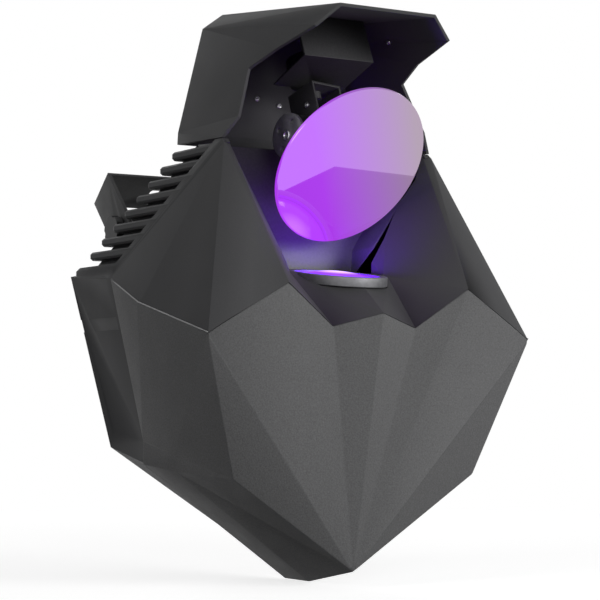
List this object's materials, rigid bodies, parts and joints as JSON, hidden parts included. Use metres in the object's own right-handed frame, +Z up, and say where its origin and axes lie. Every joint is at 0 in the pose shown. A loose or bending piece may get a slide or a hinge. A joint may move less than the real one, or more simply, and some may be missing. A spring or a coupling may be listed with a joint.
{
  "type": "led scanner light",
  "caption": "Stage effect light: a lamp in a faceted housing shines up on a motor-driven mirror under a hood, hung on a steel bracket.",
  "frame": {"origin": "centre of the bracket's hanging hole, on the outer face of its cross bar", "axes": "+Z up as the light hangs, -Y the way the mirror throws its beam, +X to the right of someone facing along +Y"},
  "size_m": [0.292, 0.2935, 0.4575],
  "materials": {
    "textured_plastic": "fine leather grain, satin",
    "smooth_plastic": "smooth, satin",
    "black_steel": "semi-gloss black paint",
    "zinc_steel": "zinc plated",
    "aluminium": "mill finish",
    "black_plastic": "satin",
    "mirror_glass": "front-silvered glass",
    "lens_glass": "clear, coated",
    "circuit_board": "green solder mask"
  },
  "bodies": {
    "bracket": {"bracket": "black_steel", "washer_left": "zinc_steel", "washer_right": "zinc_steel"},
    "housing": {"front_cover": "textured_plastic", "upper_shell": "smooth_plastic", "rear_shell": "smooth_plastic", "hood": "smooth_plastic", "well_tray": "black_steel", "motor_shelf": "black_steel", "lens_ring": "smooth_plastic", "lens": "lens_glass", "lens_barrel": "black_plastic", "optics_frame": "black_steel", "gobo_motor": "black_steel", "colour_motor": "black_steel", "condenser_lens": "lens_glass", "condenser_holder": "black_plastic", "led_module": "aluminium", "heat_sink": "aluminium", "lamp_fan_frame": "black_plastic", "pan_motor": "black_steel", "frame_plate": "black_steel", "rear_box": "black_steel", "rear_panel": "black_steel", "display_window": "black_plastic", "control_board": "circuit_board", "data_in": "zinc_steel", "data_out": "zinc_steel", "power_in": "black_plastic", "power_out": "black_plastic", "fuse_holder": "black_plastic", "rear_fan_frame": "black_plastic", "power_supply": "zinc_steel", "safety_eye": "zinc_steel", "pivot_stud_left": "zinc_steel", "pivot_stud_right": "zinc_steel"},
    "pan_head": {"pan_yoke": "black_steel", "tilt_motor": "black_steel", "tilt_motor_cap": "zinc_steel", "tilt_pin": "zinc_steel"},
    "mirror_head": {"mirror_arm": "black_plastic", "mirror": "mirror_glass"},
    "gobo_wheel": {"gobo_wheel": "zinc_steel"},
    "colour_wheel": {"colour_wheel": "zinc_steel"},
    "lamp_fan_rotor": {"lamp_fan_rotor": "black_plastic"},
    "rear_fan_rotor": {"rear_fan_rotor": "black_plastic"},
    "knob_left": {"knob_left": "black_plastic"},
    "knob_right": {"knob_right": "black_plastic"},
    "button_1": {"button_1": "black_plastic"},
    "button_2": {"button_2": "black_plastic"},
    "button_3": {"button_3": "black_plastic"},
    "button_4": {"button_4": "black_plastic"}
  },
  "joints": [
    {"name": "housing_tilt", "type": "hinge", "parent": "bracket", "child": "housing", "pos_m": [0, -0.0358, -0.0384], "axis": [1, 0, 0], "range_deg": [-75, 75]},
    {"name": "mirror_pan", "type": "hinge", "parent": "housing", "child": "pan_head", "pos_m": [0, -0.1909, 0.0246], "axis": [0, 0.342, 0.9397], "range_deg": [-50, 30]},
    {"name": "mirror_tilt", "type": "hinge", "parent": "pan_head", "child": "mirror_head", "pos_m": [0, -0.1909, 0.0246], "axis": [0.9877, 0.147, -0.0535], "range_deg": [-36, 6]},
    {"name": "gobo_wheel_spin", "type": "hinge", "parent": "housing", "child": "gobo_wheel", "pos_m": [0.03, -0.17724, -0.16235], "axis": [0, -0.1392, 0.9903], "continuous": true},
    {"name": "colour_wheel_spin", "type": "hinge", "parent": "housing", "child": "colour_wheel", "pos_m": [-0.03, -0.17627, -0.16929], "axis": [0, -0.1392, 0.9903], "continuous": true},
    {"name": "lamp_fan_spin", "type": "hinge", "parent": "housing", "child": "lamp_fan_rotor", "pos_m": [0, -0.18452, -0.25426], "axis": [0, -0.1392, 0.9903], "continuous": true},
    {"name": "rear_fan_spin", "type": "hinge", "parent": "housing", "child": "rear_fan_rotor", "pos_m": [0, -0.0259, -0.1169], "axis": [0, 1, 0], "continuous": true},
    {"name": "knob_left_turn", "type": "hinge", "parent": "housing", "child": "knob_left", "pos_m": [-0.107, -0.0358, -0.0384], "axis": [-1, 0, 0], "continuous": true},
    {"name": "knob_right_turn", "type": "hinge", "parent": "housing", "child": "knob_right", "pos_m": [0.107, -0.0358, -0.0384], "axis": [1, 0, 0], "continuous": true},
    {"name": "button_1_press", "type": "slide", "parent": "housing", "child": "button_1", "axis": [0, -1, 0], "range_m": [0, 0.001], "stiffness_N_per_m": 400, "springref_m": -0.002},
    {"name": "button_2_press", "type": "slide", "parent": "housing", "child": "button_2", "axis": [0, -1, 0], "range_m": [0, 0.001], "stiffness_N_per_m": 400, "springref_m": -0.002},
    {"name": "button_3_press", "type": "slide", "parent": "housing", "child": "button_3", "axis": [0, -1, 0], "range_m": [0, 0.001], "stiffness_N_per_m": 400, "springref_m": -0.002},
    {"name": "button_4_press", "type": "slide", "parent": "housing", "child": "button_4", "axis": [0, -1, 0], "range_m": [0, 0.001], "stiffness_N_per_m": 400, "springref_m": -0.002}
  ]
}
